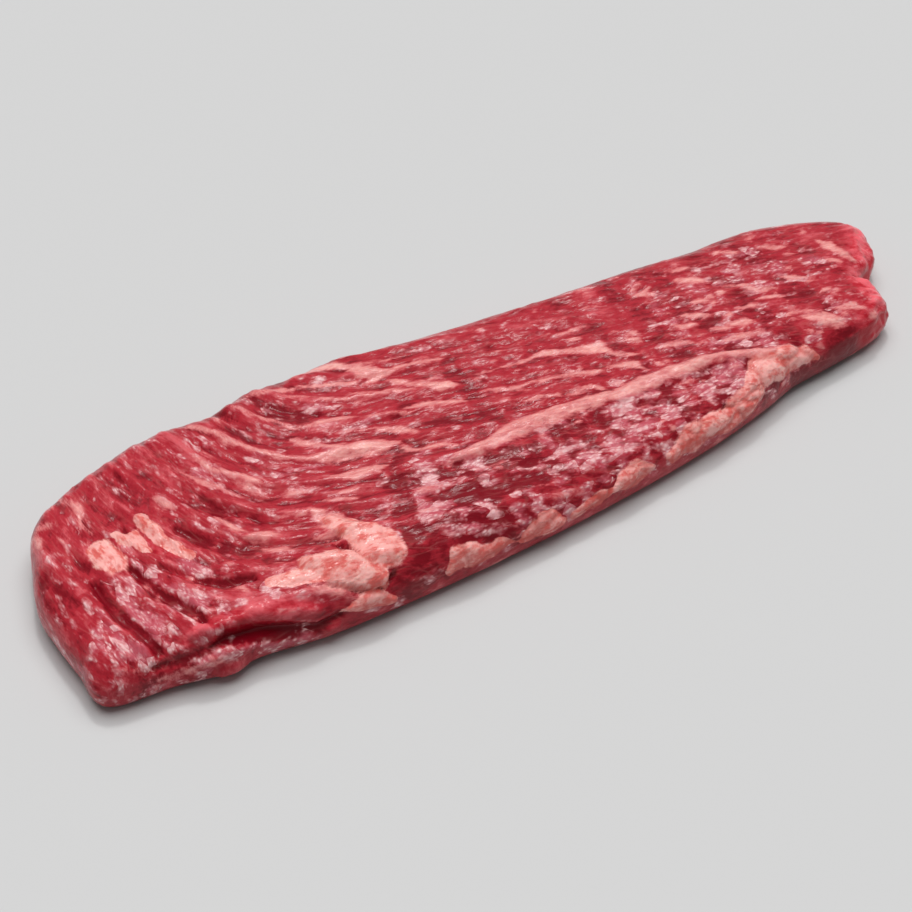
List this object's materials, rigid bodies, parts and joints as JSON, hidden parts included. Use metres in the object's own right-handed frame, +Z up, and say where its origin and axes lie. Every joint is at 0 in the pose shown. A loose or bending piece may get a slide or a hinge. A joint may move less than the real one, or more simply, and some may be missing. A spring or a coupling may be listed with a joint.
{
  "type": "skirt steak",
  "caption": "Long flat slab of raw beef, broad at one end and notched at the other, with a coarse grain, a fat seam and lumps of fat.",
  "frame": {"origin": "under the middle of the slab's bounding box, on the surface it lies on", "axes": "+X along the length from the broad end to the notched narrow end, +Y across from the edge with the fat to the plain edge, +Z up"},
  "size_m": [0.3818, 0.1208, 0.0235],
  "materials": {
    "raw_beef": "moist and glossy, crimson lean with pale pink fat"
  },
  "bodies": {
    "root": {"steak": "raw_beef"}
  },
  "joints": []
}
